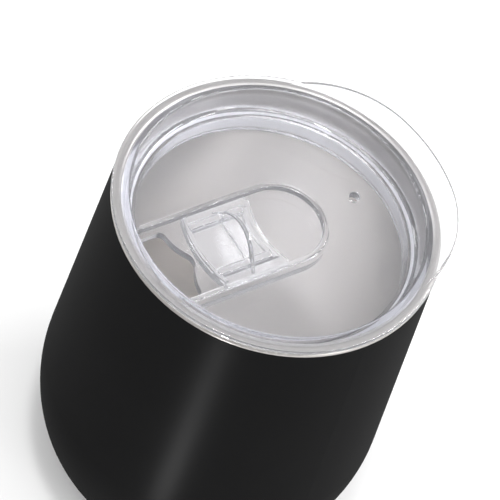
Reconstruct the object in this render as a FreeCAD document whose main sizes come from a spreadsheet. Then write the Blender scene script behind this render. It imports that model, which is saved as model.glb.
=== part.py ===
import FreeCAD, Part
import math
import os

import Sketcher

# Double-wall vacuum tumbler with a push-on clear lid and a sliding drink closure.
# Millimetres. Origin: centre of the base, on the surface that it stands on. +Z up.
# The drinking opening is on the -Y side and the thumb tab on the +Y side.

doc = FreeCAD.newDocument("Tumbler")
sheet = doc.addObject("Spreadsheet::Sheet", "Dims")

# ---------------------------------------------------------------- driving dimensions

DRIVING = {
    # cup walls
    "LipTop": 110.55,          # top of the rolled steel lip
    "LipDepth": 1.2,           # the lip's bare steel edge, above the coated shell
    "LipRadius": 40.8,
    "LipRound": 0.9,
    "MouthRadius": 38.4,       # inside of the mouth, where the lid plugs in
    "WallThick": 0.7,
    "VacuumGap": 2.0,
    "BellyArc": 50.0,          # radius of the rounded lower body, in section
    "BellyTopRadius": 44.42,   # where the straight taper meets that arc
    "BellyTopZ": 40.05,
    "TaperAngle": 2.925,       # the straight wall's lean, degrees
    "SeamZ": 24.0,             # weld between outer shell and outer bottom
    "LinerFloorZ": 9.0,
    "LinerCornerArc": 10.0,
    # base
    "FootArc": 3.5,
    "FootInnerRadius": 24.2,
    "RecessZ": 1.5,
    "DimpleRadius": 4.5,
    "DimpleZ": 2.6,
    "SealHoleRadius": 1.0,
    "CoverRadius": 23.6,
    "CoverThick": 0.6,
    "AdhesiveThick": 0.15,
    "AdhesiveOuterRadius": 20.0,
    "AdhesiveInnerRadius": 8.0,
    # parts in the vacuum space
    "FoilGap": 0.1,
    "FoilThick": 0.15,
    "FoilLowZ": 16.0,
    "FoilHighZ": 90.0,
    "GetterOffset": 14.0,
    "GetterRadius": 4.0,
    "GetterThick": 1.6,
    "ClipThick": 0.4,
    "ClipFlange": 2.2,
    "BeadRadius": 3.2,
    # lid
    "FlangeTop": 112.0,
    "FlangeThick": 1.3,
    "FlangeRadius": 41.0,
    "FlangeRound": 0.5,
    "RimRound": 0.8,           # rounded inner edge of the flange
    "RecessTopRadius": 36.4,
    "RecessLowRadius": 35.9,
    "FloorTop": 105.0,
    "FloorThick": 2.0,
    "FloorRound": 2.0,         # where the recess wall meets its floor
    "PlugTopRadius": 38.2,
    "PlugMidRadius": 37.0,
    "SkirtOuterRadius": 36.8,
    "SkirtInnerRadius": 33.8,
    "SkirtBottom": 97.5,
    "SealGrooveRadius": 35.3,
    "SealGrooveLow": 98.4,
    "SealGrooveHigh": 101.8,
    "GasketLipRadius": 38.32,
    "GasketBodyRadius": 37.2,
    # slider well in the lid's floor
    "WellHalfWidth": 10.7,
    "WellEndY": 1.9,           # centre of the well's round end
    "WellFloorZ": 102.8,
    "WellBottomZ": 100.7,
    "WellWall": 1.9,
    "BeadWidth": 1.45,         # raised border round the well
    "BeadHeight": 0.6,
    "BorderRound": 0.45,
    "UndercutDepth": 0.55,     # grooves that hold the slider down
    "UndercutHeight": 1.3,
    "WellFrontRadius": 35.35,
    # drinking opening, a bell shape
    "DrinkHalfWidth": 10.05,
    "DrinkPeakY": -22.2,
    "DrinkPeakArc": 3.5,
    "DrinkScoopArc": 12.0,
    "DrinkCornerArc": 1.8,
    "DrinkFlank": 36.0,        # slope of the bell's flank at its inflection, degrees
    "DrinkFrontRadius": 33.3,
    "VentY": 24.0,
    "VentRadius": 1.2,
    "VentRound": 0.6,
    # thumb tab
    "TabOuterRadius": 45.0,    # outer edge of the thumb tab, on a circle about the axis
    "TabOuterHalf": 14.0,      # degrees of that circle to each side of the tab's middle
    "TabCornerArc": 30.0,      # rounding from there in to the flange
    "TabRootRadius": 38.5,
    "TabRise": 0.24,           # rise of the tab's top per mm outwards
    "TabUnderRise": 0.36,
    "TabCutRadius": 50.0,
    "TabRound": 0.45,
    # slider, drawn where it stands with the opening clear
    "SliderClear": 0.12,
    "SliderHalfWidth": 11.1,
    "SliderBaseThick": 1.05,
    "SliderFrontY": -21.8,
    "SliderFrontArc": 30.5,
    "SliderFrontHalf": 10.1,
    "SliderCornerArc": 1.4,
    "SliderRearY": -3.0,
    "SliderRearArc": 23.0,
    "SliderRearHalf": 9.2,
    "SliderRearRound": 1.9,
    "FrontWallThick": 1.2,
    "FrontWallTop": 105.6,
    "RailInner": 5.95,
    "RailOuter": 8.05,
    "RailTop": 106.0,
    "RailFrontY": -20.2,
    "RailRearY": -5.0,
    "RearWallY": -4.2,
    "RearWallThick": 1.9,
    "RearWallTop": 105.1,
    "RearRamp": 1.0,
    "FinY": -9.95,
    "FinArc": 80.0,            # the fin's slight curve in plan
    "FinThick": 1.2,
    "FinTop": 111.45,
    "FinTopArc": 7.5,
    "FinSlope": 50.0,          # where the fin's round top turns into its straight flanks
    "FinRound": 0.45,
    "RibRound": 0.4,
}

# ---------------------------------------------------------------- derived dimensions

d = DRIVING
lean = math.radians(d["TaperAngle"])
belly_x = d["BellyTopRadius"] - d["BellyArc"] * math.cos(lean)
belly_z = d["BellyTopZ"] - d["BellyArc"] * math.sin(lean)
derived = {}


def taper_point(inset):
    """Where the straight taper meets the belly arc, on a surface inset from the outside."""
    radius = d["BellyArc"] - inset
    return belly_x + radius * math.cos(lean), belly_z + radius * math.sin(lean)


def taper_radius(inset, z):
    """Radius of the straight taper at height z."""
    x, top = taper_point(inset)
    return x - (z - top) * math.tan(lean)


def taper_height(inset, radius):
    """Height at which the straight taper has this radius."""
    x, top = taper_point(inset)
    return top + (x - radius) / math.tan(lean)


def belly_radius(inset, z):
    """Radius of the belly arc at height z."""
    return belly_x + math.sqrt((d["BellyArc"] - inset) ** 2 - (z - belly_z) ** 2)


def corner(inset, floor_z, arc):
    """The arc that joins the belly arc to a flat floor: its two ends (x, z)."""
    reach = d["BellyArc"] - inset - arc
    drop = belly_z - (floor_z + arc)
    across = math.sqrt(reach ** 2 - drop ** 2)
    grow = (d["BellyArc"] - inset) / reach
    return (belly_x + across * grow, belly_z - drop * grow), (belly_x + across, floor_z)


def keep(name, point):
    """Stores a derived point as two cells, NameX and NameZ."""
    derived[name + "X"] = point[0]
    derived[name + "Z"] = point[1]


LAYERS = {                     # each wall surface's inset from the outside of the cup
    "Outside": 0.0,
    "OuterInside": d["WallThick"],
    "FoilOut": d["WallThick"] + d["VacuumGap"] - d["FoilGap"] - d["FoilThick"],
    "FoilIn": d["WallThick"] + d["VacuumGap"] - d["FoilGap"],
    "LinerOut": d["WallThick"] + d["VacuumGap"],
    "LinerIn": 2 * d["WallThick"] + d["VacuumGap"],
}
for layer, inset in LAYERS.items():
    keep(layer + "Taper", taper_point(inset))
    derived[layer + "Arc"] = d["BellyArc"] - inset
    derived[layer + "SeamX"] = belly_radius(inset, d["SeamZ"])
    derived[layer + "LowX"] = belly_radius(inset, d["FoilLowZ"])
    derived[layer + "HighX"] = taper_radius(inset, d["FoilHighZ"])
derived["ShellTopZ"] = d["LipTop"] - d["LipDepth"]
derived["ShellTopOutX"] = taper_radius(0.0, derived["ShellTopZ"])
derived["ShellTopInX"] = taper_radius(d["WallThick"], derived["ShellTopZ"])
mouth_out = d["MouthRadius"] + d["WallThick"]
derived["NeckInZ"] = taper_height(LAYERS["LinerIn"], d["MouthRadius"])
derived["NeckOutZ"] = taper_height(LAYERS["LinerOut"], mouth_out)
for name, inset, floor, arc in (
    ("LinerInFoot", LAYERS["LinerIn"], d["LinerFloorZ"], d["LinerCornerArc"]),
    ("LinerOutFoot", LAYERS["LinerOut"], d["LinerFloorZ"] - d["WallThick"],
     d["LinerCornerArc"] + d["WallThick"]),
    ("OuterFoot", 0.0, 0.0, d["FootArc"]),
    ("InnerFoot", d["WallThick"], d["WallThick"], d["FootArc"] - d["WallThick"]),
):
    high, low = corner(inset, floor, arc)
    keep(name + "High", high)
    keep(name + "Low", low)

# bell-shaped drinking opening: convex peak, concave flanks, convex corners
flank = math.radians(90.0 + d["DrinkFlank"])
peak_y = d["DrinkPeakY"] - d["DrinkPeakArc"]
keep("DrinkPeakEnd", (d["DrinkPeakArc"] * math.cos(flank),
                      peak_y + d["DrinkPeakArc"] * math.sin(flank)))
scoop_reach = d["DrinkPeakArc"] + d["DrinkScoopArc"]
scoop_x = scoop_reach * math.cos(flank)
scoop_y = peak_y + scoop_reach * math.sin(flank)
corner_x = -d["DrinkHalfWidth"] + d["DrinkCornerArc"]
corner_reach = d["DrinkScoopArc"] + d["DrinkCornerArc"]
corner_y = scoop_y - math.sqrt(corner_reach ** 2 - (corner_x - scoop_x) ** 2)
share = d["DrinkScoopArc"] / corner_reach
keep("DrinkScoopEnd", (scoop_x + share * (corner_x - scoop_x),
                       scoop_y + share * (corner_y - scoop_y)))
derived["DrinkSideZ"] = corner_y


def on_circle(radius, x):
    """The front (-Y) point of a circle about the lid's axis at this x."""
    return -math.sqrt(radius ** 2 - x ** 2)


def sagitta(arc, half_chord):
    """Height of an arc over a chord."""
    return arc - math.sqrt(arc ** 2 - half_chord ** 2)


derived["DrinkFrontZ"] = on_circle(d["DrinkFrontRadius"], d["DrinkHalfWidth"])
derived["WellFrontZ"] = on_circle(d["WellFrontRadius"], d["WellHalfWidth"])
derived["UndercutHalf"] = d["WellHalfWidth"] + d["UndercutDepth"]
derived["UndercutFrontR"] = d["WellFrontRadius"] - 0.4
derived["UndercutFrontZ"] = on_circle(derived["UndercutFrontR"], derived["UndercutHalf"])
derived["BeadHalf"] = d["WellHalfWidth"] + d["BeadWidth"]
derived["BeadFrontR"] = d["RecessLowRadius"] - d["FloorRound"] - 0.3
derived["BeadFrontZ"] = on_circle(derived["BeadFrontR"], derived["BeadHalf"])
derived["BlockHalf"] = d["WellHalfWidth"] + d["WellWall"]
derived["BlockFrontR"] = d["SkirtInnerRadius"] + 1.0
derived["BlockFrontZ"] = on_circle(derived["BlockFrontR"], derived["BlockHalf"])

# thumb tab: the ends of its outer edge, and where its corner arcs cross the circle of its root
turn = math.radians(d["TabOuterHalf"])
corner_centre = d["TabOuterRadius"] - d["TabCornerArc"]
along = (d["TabRootRadius"] ** 2 + corner_centre ** 2 - d["TabCornerArc"] ** 2) / (2 * corner_centre)
aside = math.sqrt(d["TabRootRadius"] ** 2 - along ** 2)
derived["TabEndX"] = d["TabOuterRadius"] * math.sin(turn)
derived["TabEndY"] = d["TabOuterRadius"] * math.cos(turn)
derived["TabRootX"] = along * math.sin(turn) + aside * math.cos(turn)
derived["TabRootY"] = along * math.cos(turn) - aside * math.sin(turn)

derived["TabTopEndZ"] = d["FlangeTop"] + d["TabRise"] * (d["TabCutRadius"] - d["TabRootRadius"])
derived["TabUnderEndZ"] = (d["FlangeTop"] - d["FlangeThick"]
                           + d["TabUnderRise"] * (d["TabCutRadius"] - d["FlangeRadius"]))

# slider outline
front_end = d["SliderFrontY"] + sagitta(d["SliderFrontArc"], d["SliderFrontHalf"])
rear_end = d["SliderRearY"] + sagitta(d["SliderRearArc"], d["SliderRearHalf"])
wall_arc = d["SliderFrontArc"] - d["FrontWallThick"]
derived["SliderFrontEndY"] = front_end
derived["SliderRearEndY"] = rear_end
derived["SliderBaseLow"] = d["WellFloorZ"] + d["SliderClear"]
derived["SliderBaseTop"] = derived["SliderBaseLow"] + d["SliderBaseThick"]
derived["WallInEndY"] = (d["SliderFrontY"] + d["FrontWallThick"]
                         + sagitta(wall_arc, d["SliderFrontHalf"]))
derived["RearOutEndY"] = d["RearWallY"] + sagitta(d["SliderRearArc"], d["RailOuter"])
derived["RearInEndY"] = (d["RearWallY"] - d["RearWallThick"]
                         + sagitta(d["SliderRearArc"] + d["RearWallThick"], d["RailOuter"]))
slope = math.radians(d["FinSlope"])
bend_x = d["FinTopArc"] * math.sin(slope)
bend_z = d["FinTop"] - d["FinTopArc"] * (1 - math.cos(slope))
derived["FinBendX"] = bend_x
derived["FinBendZ"] = bend_z
derived["FinFootX"] = bend_x + (bend_z - derived["SliderBaseTop"]) / math.tan(slope)
derived["FinEndY"] = d["FinY"] - sagitta(d["FinArc"], d["SliderFrontHalf"])
derived["FinFrontEndY"] = (d["FinY"] - d["FinThick"]
                           - sagitta(d["FinArc"] - d["FinThick"], d["SliderFrontHalf"]))
derived["BeadArc"] = (d["BeadRadius"] ** 2 + 0.81) / 1.8

for row, (alias, number) in enumerate(list(DRIVING.items()) + list(derived.items()), start=1):
    sheet.set("A%d" % row, alias)
    sheet.set("B%d" % row, repr(round(number, 5)))
    sheet.setAlias("B%d" % row, alias)
doc.recompute()

# ---------------------------------------------------------------- helpers


def words(text):
    """Splits 'FlangeTop - FlangeThick' into signed terms: [(1, 'FlangeTop'), (-1, ...)]."""
    sign = 1
    terms = []
    for word in text.split():
        if word in ("+", "-"):
            sign = 1 if word == "+" else -1
        else:
            terms.append((sign, word))
    return terms


def value(text):
    """Number that a sum of cell names and numbers stands for."""
    total = 0.0
    for sign, word in words(text):
        total += sign * (float(word) if word[0].isdigit() else float(sheet.get(word)))
    return total


def formula(text):
    """The same sum as a FreeCAD expression on the spreadsheet."""
    parts = []
    for sign, word in words(text):
        term = word if word[0].isdigit() else "Dims." + word
        parts.append(("-" if sign < 0 else "+") + " " + term)
    return " ".join(parts).lstrip("+ ")


def new_body(label):
    body = doc.addObject("PartDesign::Body", label)
    body.Label = label
    return body


def plane(body, role):
    return [f for f in body.Origin.OriginFeatures if f.Role == role][0]


def new_sketch(body, name, role="XY_Plane", height="0"):
    """A sketch on one of the body's own origin planes, moved along that plane's normal."""
    sketch = body.newObject("Sketcher::SketchObject", name)
    sketch.AttachmentSupport = [(plane(body, role), "")]
    sketch.MapMode = "FlatFace"
    if height != "0":
        sketch.setExpression(".AttachmentOffset.Base.z", formula(height))
    return sketch


def pin_point(sketch, geo, pos, x, y):
    """Fixes a vertex by its two coordinates, each bound to the spreadsheet."""
    for kind, text in (("DistanceX", x), ("DistanceY", y)):
        index = sketch.addConstraint(Sketcher.Constraint(kind, -1, 1, geo, pos, value(text)))
        if any(not word[0].isdigit() for _, word in words(text)):
            sketch.setExpression("Constraints[%d]" % index, formula(text))


def draw(sketch, start, steps):
    """Closed outline. A step is (x, y) for a line, or (x, y, radius, side) for an arc whose
    centre lies to the left (side 1) or right (side -1) of the way from point to point."""
    here = start
    loop = []
    for step in steps:
        p = FreeCAD.Vector(value(here[0]), value(here[1]), 0)
        q = FreeCAD.Vector(value(step[0]), value(step[1]), 0)
        if len(step) == 2:
            geo = sketch.addGeometry(Part.LineSegment(p, q), False)
            loop.append((geo, 1, 2, here))
        else:
            radius = value(step[2])
            half = (q - p) * 0.5
            side = FreeCAD.Vector(-half.y, half.x, 0).normalize() * step[3]
            centre = p + half + side * math.sqrt(max(radius ** 2 - half.Length ** 2, 0.0))
            ends = (p, q) if step[3] > 0 else (q, p)
            angles = [math.atan2(e.y - centre.y, e.x - centre.x) for e in ends]
            circle = Part.Circle(centre, FreeCAD.Vector(0, 0, 1), radius)
            geo = sketch.addGeometry(Part.ArcOfCircle(circle, angles[0], angles[1]), False)
            loop.append((geo, 1, 2, here) if step[3] > 0 else (geo, 2, 1, here))
            index = sketch.addConstraint(Sketcher.Constraint("Radius", geo, radius))
            sketch.setExpression("Constraints[%d]" % index, formula(step[2]))
        here = (step[0], step[1])
    for number, (geo, first, last, point) in enumerate(loop):
        follower = loop[(number + 1) % len(loop)]
        sketch.addConstraint(Sketcher.Constraint("Coincident", geo, last, follower[0], follower[1]))
        pin_point(sketch, geo, first, point[0], point[1])


def draw_circle(sketch, x, y, radius):
    centre = FreeCAD.Vector(value(x), value(y), 0)
    circle = Part.Circle(centre, FreeCAD.Vector(0, 0, 1), value(radius))
    geo = sketch.addGeometry(circle, False)
    index = sketch.addConstraint(Sketcher.Constraint("Radius", geo, value(radius)))
    sketch.setExpression("Constraints[%d]" % index, formula(radius))
    pin_point(sketch, geo, 3, x, y)


def revolve(body, name, start, steps, kind="PartDesign::Revolution"):
    """Turns an outline given as (radius, height) about the body's Z axis."""
    sketch = new_sketch(body, name + "_profile", "XZ_Plane")
    draw(sketch, start, steps)
    feature = body.newObject(kind, name)
    feature.Profile = sketch
    feature.ReferenceAxis = (sketch, ["V_Axis"])
    feature.Angle = 360.0
    sketch.Visibility = False
    doc.recompute()
    return feature


def extrude(body, name, kind, height, length, start=None, steps=None, circle=None, role="XY_Plane"):
    """A pad up from, or a pocket down into, a plane at this height."""
    sketch = new_sketch(body, name + "_outline", role, height)
    if circle:
        draw_circle(sketch, *circle)
    else:
        draw(sketch, start, steps)
    before = body.Shape.Volume if body.Shape and not body.Shape.isNull() else 0.0
    feature = body.newObject(kind, name)
    feature.Profile = sketch
    feature.setExpression("Length", formula(length))
    doc.recompute()
    change = body.Shape.Volume - before
    if (change if kind == "PartDesign::Pad" else -change) < 0.01:
        raise RuntimeError("%s changed the volume by %.3f mm3" % (name, change))
    return feature


def dress(body, name, kind, size, wanted):
    """A fillet or chamfer on the edges of the body's tip that pass the test."""
    tip = body.Tip
    names = ["Edge%d" % (i + 1) for i, edge in enumerate(tip.Shape.Edges) if wanted(edge)]
    if not names:
        raise RuntimeError("%s found no edge" % name)
    feature = body.newObject("PartDesign::" + kind, name)
    feature.Base = (tip, names)
    feature.setExpression("Radius" if kind == "Fillet" else "Size", formula(size))
    doc.recompute()
    if not feature.isValid():
        raise RuntimeError("%s failed on %s" % (name, names))
    return feature


def edge_heights(edge):
    box = edge.BoundBox
    return box.ZMin, box.ZMax


def level(edge, z):
    """True where an edge lies flat at height z."""
    low, high = edge_heights(edge)
    return abs(low - z) < 0.01 and abs(high - z) < 0.01


def u_outline(half, front_radius, front_y):
    """Outline open towards -Y: round end at the back, front on a circle about the axis."""
    start = ("- " + half, front_y)
    steps = [
        (half, front_y, front_radius, 1),
        (half, "WellEndY"),
        ("0", "WellEndY + " + half, half, 1),
        ("- " + half, "WellEndY", half, 1),
        ("- " + half, front_y),
    ]
    return start, steps


# ---------------------------------------------------------------- cup

outer_shell = new_body("outer_shell")
revolve(outer_shell, "shell_wall", ("ShellTopOutX", "ShellTopZ"), [
    ("ShellTopInX", "ShellTopZ"),
    ("OuterInsideTaperX", "OuterInsideTaperZ"),
    ("OuterInsideSeamX", "SeamZ", "OuterInsideArc", -1),
    ("OutsideSeamX", "SeamZ"),
    ("OutsideTaperX", "OutsideTaperZ", "OutsideArc", 1),
    ("ShellTopOutX", "ShellTopZ"),
])

# The bottom cup is welded on once the liner is in. Its foot ring carries the tumbler, and the
# disc inside the ring is raised, with a central dimple for the evacuation hole.
outer_bottom = new_body("outer_bottom")
revolve(outer_bottom, "bottom_wall", ("OutsideSeamX", "SeamZ"), [
    ("OuterInsideSeamX", "SeamZ"),
    ("InnerFootHighX", "InnerFootHighZ", "OuterInsideArc", -1),
    ("InnerFootLowX", "InnerFootLowZ", "FootArc - WallThick", -1),
    ("FootInnerRadius + WallThick", "WallThick"),
    ("FootInnerRadius + WallThick", "RecessZ + WallThick"),
    ("DimpleRadius + WallThick", "RecessZ + WallThick"),
    ("DimpleRadius + WallThick", "DimpleZ + WallThick"),
    ("SealHoleRadius", "DimpleZ + WallThick"),
    ("SealHoleRadius", "DimpleZ"),
    ("DimpleRadius", "DimpleZ"),
    ("DimpleRadius", "RecessZ"),
    ("FootInnerRadius", "RecessZ"),
    ("FootInnerRadius", "0"),
    ("OuterFootLowX", "0"),
    ("OuterFootHighX", "OuterFootHighZ", "FootArc", 1),
    ("OutsideSeamX", "SeamZ", "OutsideArc", 1),
])

# The liner ends in the rolled lip that caps the outer shell.
inner_liner = new_body("inner_liner")
revolve(inner_liner, "liner_wall", ("0", "LinerFloorZ"), [
    ("0", "LinerFloorZ - WallThick"),
    ("LinerOutFootLowX", "LinerOutFootLowZ"),
    ("LinerOutFootHighX", "LinerOutFootHighZ", "LinerCornerArc + WallThick", 1),
    ("LinerOutTaperX", "LinerOutTaperZ", "LinerOutArc", 1),
    ("MouthRadius + WallThick", "NeckOutZ"),
    ("MouthRadius + WallThick", "ShellTopZ"),
    ("LipRadius", "ShellTopZ"),
    ("LipRadius", "LipTop - LipRound"),
    ("LipRadius - LipRound", "LipTop", "LipRound", 1),
    ("MouthRadius + LipRound", "LipTop"),
    ("MouthRadius", "LipTop - LipRound", "LipRound", 1),
    ("MouthRadius", "NeckInZ"),
    ("LinerInTaperX", "LinerInTaperZ"),
    ("LinerInFootHighX", "LinerInFootHighZ", "LinerInArc", -1),
    ("LinerInFootLowX", "LinerInFootLowZ", "LinerCornerArc", -1),
    ("0", "LinerFloorZ"),
])

# Copper radiation wrap, a thin sleeve that stands just off the liner's outside.
copper_foil = new_body("copper_foil")
revolve(copper_foil, "foil_wrap", ("FoilOutHighX", "FoilHighZ"), [
    ("FoilInHighX", "FoilHighZ"),
    ("FoilInTaperX", "FoilInTaperZ"),
    ("FoilInLowX", "FoilLowZ", "FoilInArc", -1),
    ("FoilOutLowX", "FoilLowZ"),
    ("FoilOutTaperX", "FoilOutTaperZ", "FoilOutArc", 1),
    ("FoilOutHighX", "FoilHighZ"),
])

# Getter pellet in a pressed clip, spot-welded under the liner beside the axis.
LINER_UNDERSIDE = "LinerFloorZ - WallThick"
getter_clip = new_body("getter_clip")
extrude(getter_clip, "clip_flange", "PartDesign::Pad", LINER_UNDERSIDE + " - ClipThick", "ClipThick",
        circle=("0", "GetterOffset", "GetterRadius + ClipThick + ClipFlange"))
extrude(getter_clip, "clip_cup", "PartDesign::Pad",
        LINER_UNDERSIDE + " - GetterThick - ClipThick - ClipThick", "GetterThick + ClipThick",
        circle=("0", "GetterOffset", "GetterRadius + ClipThick + 0.05"))
extrude(getter_clip, "clip_pocket", "PartDesign::Pocket", LINER_UNDERSIDE,
        "GetterThick + ClipThick", circle=("0", "GetterOffset", "GetterRadius + 0.05"))

getter_pellet = doc.addObject("Part::Cylinder", "getter_pellet")
getter_pellet.setExpression("Radius", formula("GetterRadius"))
getter_pellet.setExpression("Height", formula("GetterThick"))
getter_pellet.setExpression(".Placement.Base.y", formula("GetterOffset"))
getter_pellet.setExpression(".Placement.Base.z",
                            formula(LINER_UNDERSIDE + " - GetterThick - ClipThick"))

# Solder bead that closes the evacuation hole: a button in the dimple with a stem in the hole.
vacuum_seal_bead = new_body("vacuum_seal_bead")
revolve(vacuum_seal_bead, "bead", ("0", "DimpleZ + WallThick"), [
    ("0", "DimpleZ - 0.9"),
    ("BeadRadius", "DimpleZ", "BeadArc", 1),
    ("SealHoleRadius - 0.05", "DimpleZ"),
    ("SealHoleRadius - 0.05", "DimpleZ + WallThick"),
    ("0", "DimpleZ + WallThick"),
])

# Adhesive ring and the steel disc that it holds in the raised bottom.
adhesive_disc = doc.addObject("Part::Cylinder", "adhesive_disc")
adhesive_hole = doc.addObject("Part::Cylinder", "adhesive_hole")
for cylinder, radius in ((adhesive_disc, "AdhesiveOuterRadius"), (adhesive_hole, "AdhesiveInnerRadius")):
    cylinder.setExpression("Radius", formula(radius))
    cylinder.setExpression("Height", formula("AdhesiveThick"))
    cylinder.setExpression(".Placement.Base.z", formula("RecessZ - AdhesiveThick"))
base_adhesive = doc.addObject("Part::Cut", "base_adhesive")
base_adhesive.Base = adhesive_disc
base_adhesive.Tool = adhesive_hole

cover_disc = doc.addObject("Part::Cylinder", "cover_disc")
cover_disc.setExpression("Radius", formula("CoverRadius"))
cover_disc.setExpression("Height", formula("CoverThick"))
cover_disc.setExpression(".Placement.Base.z", formula("RecessZ - AdhesiveThick - CoverThick"))
doc.recompute()
base_cover = doc.addObject("Part::Chamfer", "base_cover")
base_cover.Base = cover_disc
low_rims = [
    (number, 0.2, 0.2)
    for number, edge in enumerate(cover_disc.Shape.Edges, start=1)
    if level(edge, value("RecessZ - AdhesiveThick - CoverThick"))
]
base_cover.Edges = low_rims
doc.recompute()

# ---------------------------------------------------------------- lid

lid_body = new_body("lid_body")
FLANGE_LOW = "FlangeTop - FlangeThick"
revolve(lid_body, "lid_section", ("0", "FloorTop"), [
    ("0", "FloorTop - FloorThick"),
    ("SkirtInnerRadius + 0.2", "FloorTop - FloorThick"),
    ("SkirtInnerRadius", "SkirtBottom + 0.5"),
    ("SkirtInnerRadius + 0.5", "SkirtBottom", "0.5", 1),
    ("SkirtOuterRadius - 0.8", "SkirtBottom"),
    ("SkirtOuterRadius - 0.3", "SkirtBottom + 0.5", "0.5", 1),
    ("SkirtOuterRadius - 0.3", "SealGrooveLow"),
    ("SealGrooveRadius", "SealGrooveLow"),
    ("SealGrooveRadius", "SealGrooveHigh"),
    ("SkirtOuterRadius", "SealGrooveHigh"),
    ("PlugMidRadius", "FloorTop - FloorThick"),
    ("PlugTopRadius", FLANGE_LOW),
    ("FlangeRadius - 0.3", FLANGE_LOW),
    ("FlangeRadius", FLANGE_LOW + " + 0.3", "0.3", 1),
    ("FlangeRadius", "FlangeTop - FlangeRound"),
    ("FlangeRadius - FlangeRound", "FlangeTop", "FlangeRound", 1),
    ("RecessTopRadius + RimRound", "FlangeTop"),
    ("RecessTopRadius", "FlangeTop - RimRound", "RimRound", 1),
    ("RecessLowRadius", "FloorTop + FloorRound"),
    ("RecessLowRadius - FloorRound", "FloorTop", "FloorRound", -1),
    ("0", "FloorTop"),
])

start, steps = u_outline("BlockHalf", "BlockFrontR", "BlockFrontZ")
extrude(lid_body, "well_block", "PartDesign::Pad", "WellBottomZ",
        "FloorTop - FloorThick - WellBottomZ + 0.5", start, steps)
start, steps = u_outline("BeadHalf", "BeadFrontR", "BeadFrontZ")
extrude(lid_body, "well_border", "PartDesign::Pad", "FloorTop - 0.5", "BeadHeight + 0.5", start, steps)
start, steps = u_outline("WellHalfWidth", "WellFrontRadius", "WellFrontZ")
extrude(lid_body, "well", "PartDesign::Pocket", "FloorTop + BeadHeight + 1",
        "FloorTop + BeadHeight + 1 - WellFloorZ", start, steps)
dress(lid_body, "border_rounding", "Fillet", "BorderRound",
      lambda edge: level(edge, value("FloorTop + BeadHeight")) and edge.Length > 3)
start, steps = u_outline("UndercutHalf", "UndercutFrontR", "UndercutFrontZ")
extrude(lid_body, "well_undercut", "PartDesign::Pocket", "WellFloorZ + UndercutHeight",
        "UndercutHeight", start, steps)

extrude(lid_body, "drink_opening", "PartDesign::Pocket", "WellFloorZ + 0.5",
        "WellFloorZ - WellBottomZ + 1", ("- DrinkHalfWidth", "DrinkFrontZ"), [
            ("DrinkHalfWidth", "DrinkFrontZ", "DrinkFrontRadius", 1),
            ("DrinkHalfWidth", "DrinkSideZ"),
            ("- DrinkScoopEndX", "DrinkScoopEndZ", "DrinkCornerArc", 1),
            ("- DrinkPeakEndX", "DrinkPeakEndZ", "DrinkScoopArc", -1),
            ("DrinkPeakEndX", "DrinkPeakEndZ", "DrinkPeakArc", 1),
            ("DrinkScoopEndX", "DrinkScoopEndZ", "DrinkScoopArc", -1),
            ("- DrinkHalfWidth", "DrinkSideZ", "DrinkCornerArc", 1),
            ("- DrinkHalfWidth", "DrinkFrontZ"),
        ])
extrude(lid_body, "vent", "PartDesign::Pocket", "FloorTop + 0.5", "FloorThick + 1",
        circle=("0", "VentY", "VentRadius"))
dress(lid_body, "vent_rim", "Fillet", "VentRound",
      lambda edge: level(edge, value("FloorTop")) and edge.BoundBox.Center.y > 20
      and edge.BoundBox.XLength < 3 * value("VentRadius"))

# Thumb tab: an outline standing on the flange, cut to a gently rising plate by two cones.
extrude(lid_body, "tab_block", "PartDesign::Pad", FLANGE_LOW, "6", ("- TabRootX", "TabRootY"), [
    ("TabRootX", "TabRootY", "TabRootRadius", -1),
    ("TabEndX", "TabEndY", "TabCornerArc", 1),
    ("- TabEndX", "TabEndY", "TabOuterRadius", 1),
    ("- TabRootX", "TabRootY", "TabCornerArc", 1),
])
revolve(lid_body, "tab_top", ("TabRootRadius", "FlangeTop"), [
    ("TabCutRadius", "TabTopEndZ"),
    ("TabCutRadius", "FlangeTop + 8"),
    ("TabRootRadius", "FlangeTop + 8"),
    ("TabRootRadius", "FlangeTop"),
], "PartDesign::Groove")
revolve(lid_body, "tab_underside", ("FlangeRadius", FLANGE_LOW + " - 1"), [
    ("TabCutRadius", FLANGE_LOW + " - 1"),
    ("TabCutRadius", "TabUnderEndZ"),
    ("FlangeRadius", FLANGE_LOW),
    ("FlangeRadius", FLANGE_LOW + " - 1"),
], "PartDesign::Groove")
dress(lid_body, "tab_rounding", "Fillet", "TabRound",
      lambda edge: edge.BoundBox.YMax > value("TabOuterRadius - 0.2")
      and edge.BoundBox.XLength > 10)

# Silicone ring in the lid's groove: a band with two soft lips that press on the mouth.
lid_gasket = new_body("lid_gasket")
SEAL_IN = "SealGrooveRadius + 0.05"
revolve(lid_gasket, "gasket_section", (SEAL_IN, "SealGrooveLow + 0.1"), [
    ("GasketBodyRadius - 0.4", "SealGrooveLow + 0.1"),
    ("GasketLipRadius - 0.1", "SealGrooveLow + 0.7"),
    ("GasketLipRadius - 0.1", "SealGrooveLow + 1.1", "0.25", 1),
    ("GasketBodyRadius", "SealGrooveLow + 1.1"),
    ("GasketBodyRadius", "SealGrooveLow + 1.9"),
    ("GasketLipRadius - 0.1", "SealGrooveLow + 2.3"),
    ("GasketLipRadius - 0.1", "SealGrooveLow + 2.7", "0.25", 1),
    ("GasketBodyRadius", "SealGrooveLow + 2.7"),
    ("GasketBodyRadius - 0.3", "SealGrooveHigh - 0.1"),
    (SEAL_IN, "SealGrooveHigh - 0.1"),
    (SEAL_IN, "SealGrooveLow + 0.1"),
])

# ---------------------------------------------------------------- slider

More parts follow.
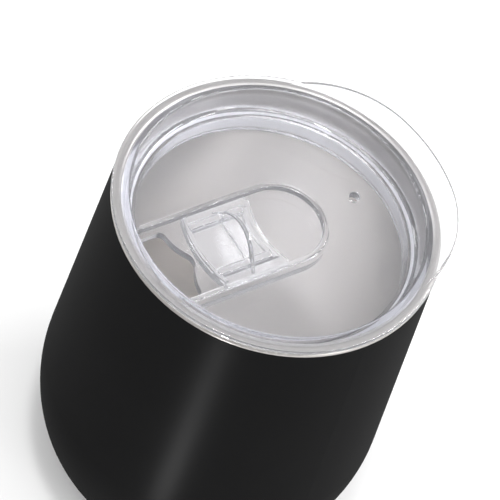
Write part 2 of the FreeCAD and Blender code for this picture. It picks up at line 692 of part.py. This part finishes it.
lid_slider = new_body("lid_slider")
extrude(lid_slider, "base_plate", "PartDesign::Pad", "SliderBaseLow", "SliderBaseThick",
        ("- SliderFrontHalf", "SliderFrontEndY"), [
            ("SliderFrontHalf", "SliderFrontEndY", "SliderFrontArc", 1),
            ("SliderHalfWidth", "SliderFrontEndY + SliderCornerArc", "SliderCornerArc", 1),
            ("SliderHalfWidth", "SliderRearEndY - SliderRearRound"),
            ("SliderRearHalf", "SliderRearEndY", "SliderRearRound", 1),
            ("- SliderRearHalf", "SliderRearEndY", "SliderRearArc", -1),
            ("- SliderHalfWidth", "SliderRearEndY - SliderRearRound", "SliderRearRound", 1),
            ("- SliderHalfWidth", "SliderFrontEndY + SliderCornerArc"),
            ("- SliderFrontHalf", "SliderFrontEndY", "SliderCornerArc", 1),
        ])

# ribs stand on the base plate and reach 0.2 into it
RIB_FOOT = "SliderBaseTop - 0.2"
extrude(lid_slider, "fin", "PartDesign::Pad", RIB_FOOT, "FinTop + 0.2 - SliderBaseTop",
        ("SliderFrontHalf", "FinEndY"), [
            ("- SliderFrontHalf", "FinEndY", "FinArc", 1),
            ("- SliderFrontHalf", "FinFrontEndY"),
            ("SliderFrontHalf", "FinFrontEndY", "FinArc - FinThick", -1),
            ("SliderFrontHalf", "FinEndY"),
        ])
extrude(lid_slider, "fin_arch", "PartDesign::Pocket", "FinThick + 3 - FinY", "7",
        ("- FinFootX", "SliderBaseTop"), [
            ("- FinBendX", "FinBendZ"),
            ("FinBendX", "FinBendZ", "FinTopArc", -1),
            ("FinFootX", "SliderBaseTop"),
            ("UndercutHalf", "SliderBaseTop"),
            ("UndercutHalf", "FinTop + 1"),
            ("- UndercutHalf", "FinTop + 1"),
            ("- UndercutHalf", "SliderBaseTop"),
            ("- FinFootX", "SliderBaseTop"),
        ], role="XZ_Plane")
dress(lid_slider, "fin_rounding", "Fillet", "FinRound",
      lambda edge: edge.BoundBox.ZMax > value("RailTop + 0.2") and edge.Length > 2)
extrude(lid_slider, "front_wall", "PartDesign::Pad", RIB_FOOT, "FrontWallTop + 0.2 - SliderBaseTop",
        ("- SliderFrontHalf", "SliderFrontEndY"), [
            ("SliderFrontHalf", "SliderFrontEndY", "SliderFrontArc", 1),
            ("SliderFrontHalf", "WallInEndY"),
            ("- SliderFrontHalf", "WallInEndY", "SliderFrontArc - FrontWallThick", -1),
            ("- SliderFrontHalf", "SliderFrontEndY"),
        ])
dress(lid_slider, "front_wall_rounding", "Fillet", "RibRound",
      lambda edge: level(edge, value("FrontWallTop")))
extrude(lid_slider, "rear_wall", "PartDesign::Pad", RIB_FOOT, "RearWallTop + 0.2 - SliderBaseTop",
        ("RailOuter", "RearOutEndY"), [
            ("- RailOuter", "RearOutEndY", "SliderRearArc", -1),
            ("- RailOuter", "RearInEndY"),
            ("RailOuter", "RearInEndY", "SliderRearArc + RearWallThick", 1),
            ("RailOuter", "RearOutEndY"),
        ])
dress(lid_slider, "rear_ramp", "Chamfer", "RearRamp",
      lambda edge: level(edge, value("RearWallTop")) and edge.BoundBox.XLength > 5
      and edge.BoundBox.YMin > value("RearWallY - 0.1"))
for side, inner, outer in (("right", "RailInner", "RailOuter"),
                           ("left", "- RailOuter", "- RailInner")):
    extrude(lid_slider, side + "_rail", "PartDesign::Pad", "- RailRearY", "RailRearY - RailFrontY",
            (inner, RIB_FOOT), [
                (outer, RIB_FOOT),
                (outer, "RailTop - RibRound"),
                (outer + " - RibRound", "RailTop", "RibRound", 1),
                (inner + " + RibRound", "RailTop"),
                (inner, "RailTop - RibRound", "RibRound", 1),
                (inner, RIB_FOOT),
            ], role="XZ_Plane")

# ---------------------------------------------------------------- check and export

NODES = [outer_shell, outer_bottom, inner_liner, copper_foil, getter_clip, getter_pellet,
         vacuum_seal_bead, base_adhesive, base_cover, lid_body, lid_gasket, lid_slider]

doc.recompute()
for item in doc.Objects:
    if "Invalid" in item.State or "Error" in item.State:
        raise RuntimeError("%s failed: %s" % (item.Name, item.State))
for node in NODES:
    shape = node.Shape
    if shape.isNull() or not shape.isValid() or len(shape.Solids) != 1:
        raise RuntimeError("%s is not one valid solid" % node.Label)
    print("%-18s %9.1f mm3" % (node.Label, shape.Volume))

os.makedirs("parts", exist_ok=True)
for node in NODES:
    node.Shape.exportStep("parts/%s.step" % node.Label)
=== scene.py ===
import math

import bpy
from mathutils import Matrix, Vector


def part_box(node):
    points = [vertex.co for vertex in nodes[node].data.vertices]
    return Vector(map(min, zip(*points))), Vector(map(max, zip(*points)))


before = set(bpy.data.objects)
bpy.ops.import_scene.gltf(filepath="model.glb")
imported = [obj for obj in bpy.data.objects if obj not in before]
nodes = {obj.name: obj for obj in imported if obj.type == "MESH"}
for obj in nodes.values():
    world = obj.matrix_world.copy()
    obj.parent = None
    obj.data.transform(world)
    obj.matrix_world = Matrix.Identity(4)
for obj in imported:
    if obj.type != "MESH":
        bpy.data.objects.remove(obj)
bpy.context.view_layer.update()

# ---------------------------------------------------------------- camera

LENS_MM = 216.0
SENSOR_MM = 36.0
ELEVATION = math.radians(51.79)
AZIMUTH = math.radians(41.7)
ROLL = math.radians(21.42)
LOOK_Z = 0.112            # centre of the lid's flange, the point that is framed
LOOK_ASIDE = 0.0100       # how far it lies right of the view axis, as a share of the distance
LOOK_ABOVE = 0.01373      # how far it lies above the view axis, as a share of the distance
DISTANCE = 0.7175


def make_camera():
    """A long lens from the front right, above the lid, tipped over to its left."""
    level = math.cos(ELEVATION)
    back = Vector((math.sin(AZIMUTH) * level, -math.cos(AZIMUTH) * level, math.sin(ELEVATION)))
    right = Vector((math.cos(AZIMUTH), math.sin(AZIMUTH), 0.0))
    up = back.cross(right)
    x_axis = math.cos(ROLL) * right + math.sin(ROLL) * up
    y_axis = -math.sin(ROLL) * right + math.cos(ROLL) * up
    data = bpy.data.cameras.new("camera")
    data.lens = LENS_MM
    data.sensor_width = SENSOR_MM
    data.clip_start = 0.01
    data.clip_end = 100.0
    camera = bpy.data.objects.new("camera", data)
    bpy.context.scene.collection.objects.link(camera)
    offset = x_axis * LOOK_ASIDE + y_axis * LOOK_ABOVE
    place = Vector((0.0, 0.0, LOOK_Z)) + DISTANCE * (back - offset)
    matrix = Matrix((x_axis, y_axis, back)).transposed().to_4x4()
    matrix.translation = place
    camera.matrix_world = matrix
    bpy.context.scene.camera = camera


make_camera()

# ---------------------------------------------------------------- materials

# Noise scales are cells per metre and bump distances are metres.
COAT_GRAIN = 3800.0
COAT_RELIEF = 0.00004
STEEL_MARKS = 5200.0
ALONG_THE_RING = 0.02     # how much slower the steel's marks change along a ring than across it
PAINTED_SHADE_DEPTH = 0.0024        # painted shade darkens the liner's rolled lip down to this far below its top, under the lid's flange
PAINTED_SHADE_BLEND = 0.0012        # height over which the painted shade comes in
PLASTIC_DENSITY = 35.0    # light taken up per metre of clear plastic


class Shader:
    """A material's node tree, with short ways to add and join nodes."""

    def __init__(self, name):
        self.material = bpy.data.materials.new(name)
        self.material.use_nodes = True
        self.tree = self.material.node_tree
        self.tree.nodes.clear()
        self.output = self.add("ShaderNodeOutputMaterial")

    def add(self, kind, **values):
        node = self.tree.nodes.new(kind)
        for key, value in values.items():
            setattr(node, key, value)
        return node

    def join(self, source, target):
        self.tree.links.new(source, target)

    def surface(self, **values):
        node = self.add("ShaderNodeBsdfPrincipled")
        for key, value in values.items():
            node.inputs[key.replace("_", " ")].default_value = value
        self.join(node.outputs["BSDF"], self.output.inputs["Surface"])
        return node

    def math(self, operation, a, b=0.0):
        node = self.add("ShaderNodeMath", operation=operation)
        for socket, value in zip(node.inputs, (a, b)):
            if isinstance(value, (int, float)):
                socket.default_value = value
            else:
                self.join(value, socket)
        return node.outputs[0]

    def place(self):
        """Object coordinates, which are the frame's metres."""
        return self.add("ShaderNodeTexCoord").outputs["Object"]

    def noise(self, vector, scale, detail=3.0, roughness=0.5):
        node = self.add("ShaderNodeTexNoise")
        node.inputs["Scale"].default_value = scale
        node.inputs["Detail"].default_value = detail
        node.inputs["Roughness"].default_value = roughness
        self.join(vector, node.inputs["Vector"])
        return node.outputs["Fac"]

    def ramp(self, source, low, high, start=0.0, end=1.0):
        """Maps source from start..end to low..high; low and high are numbers."""
        node = self.add("ShaderNodeMapRange")
        for socket, value in zip(node.inputs[1:], (start, end, low, high)):
            socket.default_value = value
        self.join(source, node.inputs["Value"])
        return node.outputs["Result"]

    def tint(self, source, low, high):
        """Mixes two colours by source."""
        node = self.add("ShaderNodeMix", data_type="RGBA")
        self.join(source, node.inputs["Factor"])
        colours = [s for s in node.inputs if s.type == "RGBA"]
        colours[0].default_value = (*low, 1.0)
        colours[1].default_value = (*high, 1.0)
        return [s for s in node.outputs if s.type == "RGBA"][0]

    def shade(self, colour, amount, shade):
        """Multiplies a colour by shade as amount goes from 0 to 1."""
        node = self.add("ShaderNodeMix", data_type="RGBA", blend_type="MULTIPLY")
        self.join(amount, node.inputs["Factor"])
        colours = [s for s in node.inputs if s.type == "RGBA"]
        self.join(colour, colours[0])
        colours[1].default_value = (*shade, 1.0)
        return [s for s in node.outputs if s.type == "RGBA"][0]

    def bump(self, height, distance, strength):
        node = self.add("ShaderNodeBump")
        node.inputs["Distance"].default_value = distance
        node.inputs["Strength"].default_value = strength
        self.join(height, node.inputs["Height"])
        return node.outputs["Normal"]

    def lit_inside(self, principled, lamp_colour, seen_share):
        """Lets lamps shine through, so that what is inside is lit, and seen_share of sight too."""
        glow = self.add("ShaderNodeBsdfTransparent")
        glow.inputs["Color"].default_value = (*lamp_colour, 1.0)
        path = self.add("ShaderNodeLightPath")
        mix = self.add("ShaderNodeMixShader")
        share = self.math("MAXIMUM", path.outputs["Is Shadow Ray"], seen_share)
        self.join(share, mix.inputs["Fac"])
        self.join(principled.outputs["BSDF"], mix.inputs[1])
        self.join(glow.outputs["BSDF"], mix.inputs[2])
        self.join(mix.outputs["Shader"], self.output.inputs["Surface"])


def powder_coat():
    """Matt black powder coat: a fine leathery grain about a quarter of a millimetre across."""
    s = Shader("black_powder_coat")
    where = s.place()
    grain = s.noise(where, COAT_GRAIN, 2.0)
    patches = s.noise(where, 60.0, 3.0)
    principled = s.surface(Specular_IOR_Level=0.0, Coat_Weight=0.10, Coat_Roughness=0.34)
    s.join(s.tint(patches, (0.0022, 0.0022, 0.0024), (0.0034, 0.0034, 0.0036)),
           principled.inputs["Base Color"])
    s.join(s.ramp(patches, 0.60, 0.70), principled.inputs["Roughness"])
    relief = s.bump(grain, COAT_RELIEF, 0.4)
    s.join(relief, principled.inputs["Normal"])
    s.join(relief, principled.inputs["Coat Normal"])
    return s.material


def turned_steel(name, low, high, rough, depth, painted_shade_z):
    """Stainless steel with fine marks that run round the axis, with painted shade darkening it above
    the given height.
    """
    s = Shader(name)
    where = s.place()
    split = s.add("ShaderNodeSeparateXYZ")
    s.join(where, split.inputs[0])
    x2 = s.math("MULTIPLY", split.outputs["X"], split.outputs["X"])
    y2 = s.math("MULTIPLY", split.outputs["Y"], split.outputs["Y"])
    radius = s.math("SQRT", s.math("ADD", x2, y2))
    # marks follow rings, so they change across the rings and hardly along them
    across = s.add("ShaderNodeCombineXYZ")
    s.join(s.math("MULTIPLY", split.outputs["X"], ALONG_THE_RING), across.inputs["X"])
    s.join(s.math("MULTIPLY", split.outputs["Y"], ALONG_THE_RING), across.inputs["Y"])
    s.join(s.math("ADD", radius, split.outputs["Z"]), across.inputs["Z"])
    marks = s.noise(across.outputs[0], STEEL_MARKS, 3.0, 0.6)
    cloud = s.noise(where, 45.0, 2.0)
    principled = s.surface(Metallic=1.0)
    # painted shade: the liner's lip under the lid's flange is darkened to stand in for the shade there
    painted_shade_mask = s.ramp(split.outputs["Z"], 0.0, 1.0, painted_shade_z, painted_shade_z + PAINTED_SHADE_BLEND)
    s.join(s.shade(s.tint(marks, low, high), painted_shade_mask, (0.58, 0.57, 0.565)), principled.inputs["Base Color"])
    s.join(s.math("ADD", s.ramp(marks, -0.04, 0.04), s.ramp(cloud, rough - 0.03, rough + 0.03)),
           principled.inputs["Roughness"])
    s.join(s.bump(marks, depth, 0.6), principled.inputs["Normal"])
    return s.material


def clear_plastic(name, colour, rough):
    """Polished clear copolyester, darker where the way through it is long."""
    s = Shader(name)
    where = s.place()
    flow = s.noise(where, 55.0, 2.0)
    principled = s.surface(IOR=1.55, Transmission_Weight=0.955, Specular_IOR_Level=0.5)
    s.join(s.tint(flow, colour, tuple(min(1.0, c + 0.02) for c in colour)),
           principled.inputs["Base Color"])
    s.join(s.ramp(flow, rough * 0.5, rough * 1.5), principled.inputs["Roughness"])
    s.join(s.bump(flow, 0.00003, 0.25), principled.inputs["Normal"])
    s.lit_inside(principled, (0.93, 0.935, 0.95), 0.06)
    depth = s.add("ShaderNodeVolumeAbsorption")
    depth.inputs["Color"].default_value = (0.50, 0.50, 0.60, 1.0)
    depth.inputs["Density"].default_value = PLASTIC_DENSITY
    s.join(depth.outputs["Volume"], s.output.inputs["Volume"])
    return s.material


def silicone():
    """Milky clear silicone with a satin skin."""
    s = Shader("silicone")
    where = s.place()
    cloud = s.noise(where, 220.0, 3.0)
    principled = s.surface(IOR=1.41, Transmission_Weight=0.75)
    s.join(s.tint(cloud, (0.86, 0.87, 0.89), (0.93, 0.93, 0.94)), principled.inputs["Base Color"])
    s.join(s.ramp(cloud, 0.32, 0.46), principled.inputs["Roughness"])
    s.join(s.bump(cloud, 0.00003, 0.3), principled.inputs["Normal"])
    s.lit_inside(principled, (0.7, 0.7, 0.72), 0.0)
    return s.material


def plain(name, low, high, scale, rough_low, rough_high, metallic, depth):
    """A small part's material: two close colours, uneven roughness and a little relief."""
    s = Shader(name)
    cloud = s.noise(s.place(), scale, 4.0, 0.6)
    principled = s.surface(Metallic=metallic)
    s.join(s.tint(cloud, low, high), principled.inputs["Base Color"])
    s.join(s.ramp(cloud, rough_low, rough_high), principled.inputs["Roughness"])
    s.join(s.bump(cloud, depth, 0.5), principled.inputs["Normal"])
    return s.material


liner_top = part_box("inner_liner")[1][2]
coat = powder_coat()
NODE_MATERIALS = {
    "outer_shell": coat,
    "outer_bottom": coat,
    "inner_liner": turned_steel("liner_steel", (0.71, 0.692, 0.675), (0.80, 0.782, 0.765), 0.33,
                                0.000006, liner_top - PAINTED_SHADE_DEPTH),
    # the cover lies far below liner_top, so it gets none of the painted shade
    "base_cover": turned_steel("cover_steel", (0.50, 0.49, 0.48), (0.64, 0.63, 0.62), 0.34,
                               0.000008, liner_top),
    "getter_clip": plain("pressed_steel", (0.45, 0.44, 0.43), (0.62, 0.61, 0.60), 900.0,
                         0.28, 0.42, 1.0, 0.00001),
    "getter_pellet": plain("getter_alloy", (0.16, 0.16, 0.165), (0.28, 0.28, 0.285), 4000.0,
                           0.6, 0.85, 0.6, 0.00003),
    "copper_foil": plain("copper", (0.72, 0.36, 0.22), (0.83, 0.48, 0.33), 300.0,
                         0.18, 0.38, 1.0, 0.00003),
    "vacuum_seal_bead": plain("solder", (0.45, 0.46, 0.47), (0.62, 0.63, 0.64), 1500.0,
                              0.25, 0.5, 1.0, 0.00004),
    "base_adhesive": plain("foam_adhesive", (0.70, 0.70, 0.66), (0.82, 0.82, 0.79), 3000.0,
                           0.7, 0.9, 0.0, 0.00004),
    "lid_body": clear_plastic("clear_plastic", (0.972, 0.972, 0.978), 0.012),
    "lid_slider": clear_plastic("clear_plastic_slider", (0.972, 0.972, 0.978), 0.015),
    "lid_gasket": silicone(),
}
for name, material in NODE_MATERIALS.items():
    node = nodes[name]
    node.data.materials.clear()
    node.data.materials.append(material)

# ---------------------------------------------------------------- floor and light

FLOOR_REACH = 12.0
ROOM_STRENGTH = 0.95
DIM_STRENGTH = 0.58       # of the room on the side that DIM_WAY points to
DIM_WAY = (-0.44, 0.49, 0.75)
SKIRTING = 0.22           # share of the room's light that is left close to the floor


def make_floor():
    """A flat sheet of white paper that reaches well past the view."""
    mesh = bpy.data.meshes.new("floor")
    far = FLOOR_REACH
    corners = [(-far, -far, 0.0), (far, -far, 0.0), (far, far, 0.0), (-far, far, 0.0)]
    mesh.from_pydata(corners, [], [(0, 1, 2, 3)])
    floor = bpy.data.objects.new("floor", mesh)
    bpy.context.scene.collection.objects.link(floor)
    s = Shader("floor_paper")
    principled = s.surface(Roughness=0.9, Specular_IOR_Level=0.1)
    cloud = s.noise(s.place(), 4.0, 2.0)
    s.join(s.tint(cloud, (0.81, 0.81, 0.81), (0.83, 0.83, 0.83)), principled.inputs["Base Color"])
    mesh.materials.append(s.material)


def area_light(name, place, target, width, height, watts):
    """A rectangular lamp at place that faces target, with height along its upright side."""
    data = bpy.data.lights.new(name, "AREA")
    data.shape = "RECTANGLE"
    data.size = width
    data.size_y = height
    data.energy = watts
    light = bpy.data.objects.new(name, data)
    bpy.context.scene.collection.objects.link(light)
    light.location = place
    light.rotation_mode = "QUATERNION"
    light.rotation_quaternion = (Vector(target) - Vector(place)).to_track_quat("-Z", "Y")
    return light


def make_world():
    """White walls, dimmer behind the cup on the left, and darker low down all round."""
    world = bpy.data.worlds.new("studio")
    bpy.context.scene.world = world
    world.use_nodes = True
    tree = world.node_tree
    background = tree.nodes["Background"]
    background.inputs["Color"].default_value = (1.0, 1.0, 1.0, 1.0)
    direction = tree.nodes.new("ShaderNodeTexCoord").outputs["Generated"]

    def toward(axis, start, end, low, high):
        """Goes from low to high as the cosine of the angle to axis goes from start to end."""
        along = tree.nodes.new("ShaderNodeVectorMath")
        along.operation = "DOT_PRODUCT"
        along.inputs[1].default_value = axis
        tree.links.new(direction, along.inputs[0])
        change = tree.nodes.new("ShaderNodeMapRange")
        change.interpolation_type = "SMOOTHSTEP"
        for socket, value in zip(change.inputs[1:], (start, end, low, high)):
            socket.default_value = value
        tree.links.new(along.outputs["Value"], change.inputs["Value"])
        return change.outputs["Result"]

    strength = tree.nodes.new("ShaderNodeMath")
    strength.operation = "MULTIPLY"
    dim_side = toward(DIM_WAY, 0.35, 0.95, ROOM_STRENGTH, DIM_STRENGTH)
    tree.links.new(dim_side, strength.inputs[0])
    # the dark skirting draws the edges of clear plastic
    skirting = toward((0.0, 0.0, 1.0), 0.04, 0.36, SKIRTING, 1.0)
    tree.links.new(skirting, strength.inputs[1])
    tree.links.new(strength.outputs[0], background.inputs["Strength"])


make_floor()
make_world()
CUP_MIDDLE = (0.0, 0.0, 0.07)
# name, place, width, height, watts
LAMPS = [
    ("overhead", (0.25, -0.45, 1.3), 1.3, 1.3, 5.0),
    ("key", (0.10, -0.20, 1.05), 0.12, 0.12, 3.2),
    ("side", (0.42, 0.90, 0.60), 0.7, 0.18, 8.5),
    ("right_strip", (0.60, 0.50, 0.87), 0.30, 0.08, 2.2),
    ("left_strip", (-0.45, -0.50, 0.96), 0.36, 0.04, 0.7),
]
for name, place, width, height, watts in LAMPS:
    area_light(name, place, CUP_MIDDLE, width, height, watts)
# two tall soft lamps beside the cup, which show the coat's roundness in side and back views
WALL_DISTANCE = 1.5
WALL_HEIGHT = 0.42
for side, azimuth in (("right", 12.0), ("left", 205.0)):
    angle = math.radians(azimuth)
    place = (WALL_DISTANCE * math.cos(angle), WALL_DISTANCE * math.sin(angle), WALL_HEIGHT)
    lamp = area_light("wall_" + side, place, CUP_MIDDLE, 0.30, 0.80, 5.0)
    lamp.visible_camera = False
# a low strip that points at the cup's axis; its light runs up the coat as one narrow band
STRIP_AZIMUTH = math.radians(-50.5)
outward = Vector((math.cos(STRIP_AZIMUTH), math.sin(STRIP_AZIMUTH), 0.0))
strip_place = 0.12 * outward + Vector((0.0, 0.0, 0.003))
strip_target = 0.10 * outward + Vector((0.0, 0.0, 1.0))
area_light("floor_strip", strip_place, strip_target, 0.010, 0.09, 0.045)
bpy.context.scene.view_settings.view_transform = "Standard"
bpy.context.scene.view_settings.look = "None"
bpy.context.scene.cycles.max_bounces = 32
bpy.context.scene.cycles.transmission_bounces = 32
